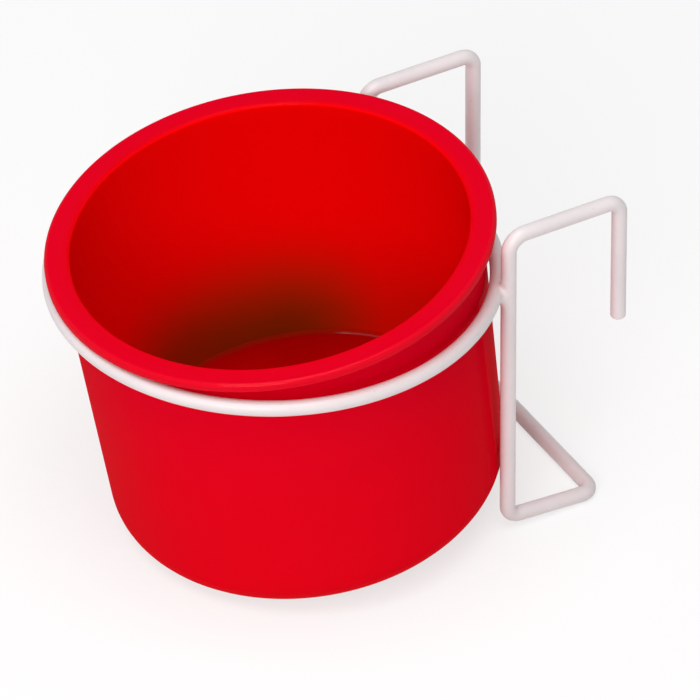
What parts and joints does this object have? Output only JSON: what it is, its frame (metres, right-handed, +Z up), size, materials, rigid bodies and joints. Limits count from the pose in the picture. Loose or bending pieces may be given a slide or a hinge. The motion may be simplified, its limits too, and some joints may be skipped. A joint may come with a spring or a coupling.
{
  "type": "seed cup",
  "caption": "Hang-on seed cup: a round moulded cup with a flat lip, standing in a welded wire ring on a bent wire hanger with hooks at the back and a foot loop below.",
  "frame": {"origin": "on the surface that the object stands on, under the middle of its bounding box", "axes": "+X along the cross bar of the foot loop, from the left hook to the right hook; +Y from the cup to the cage; +Z up along the uprights"},
  "size_m": [0.0916, 0.1096, 0.0751],
  "materials": {
    "red_plastic": "glossy moulded plastic in one red all through",
    "white_coated_wire": "steel wire with a smooth white coating"
  },
  "bodies": {
    "holder": {"hanger_wire": "white_coated_wire", "holder_ring": "white_coated_wire", "ring_joint": "white_coated_wire", "left_weld": "white_coated_wire", "right_weld": "white_coated_wire"},
    "cup": {"seed_cup": "red_plastic"}
  },
  "joints": [
    {"name": "cup_lift", "type": "slide", "parent": "holder", "child": "cup", "axis": [0, -0.1341, 0.991], "range_m": [0, 0.075]}
  ]
}
